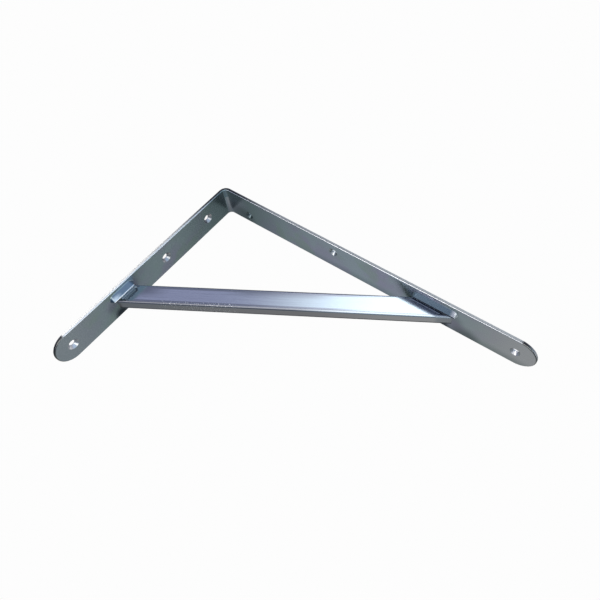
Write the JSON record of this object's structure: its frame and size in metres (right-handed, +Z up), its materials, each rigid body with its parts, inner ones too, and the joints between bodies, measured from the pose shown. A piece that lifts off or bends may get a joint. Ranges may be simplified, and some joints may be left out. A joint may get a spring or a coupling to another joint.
{
  "type": "angle bracket",
  "caption": "L-shaped flat-bar shelf bracket with round ends, countersunk screw holes and a folded channel brace held across the angle under lanced lips.",
  "frame": {"origin": "centre of the upper wall screw hole, on the outer face that lies against the wall; the sharp outer corner of the angle is 30 mm above it", "axes": "+X out from the wall along the shelf arm, +Z up along the wall arm, Y across the width of the bar, with the lanced lips near the -Y edge"},
  "size_m": [0.3, 0.03, 0.2],
  "materials": {
    "bar_zinc": "bright zinc-plated flat steel bar",
    "brace_zinc": "bright zinc-plated steel sheet, with a faint blue-violet passivation tint"
  },
  "bodies": {
    "root": {"angle_strip": "bar_zinc", "brace": "brace_zinc"}
  },
  "joints": []
}
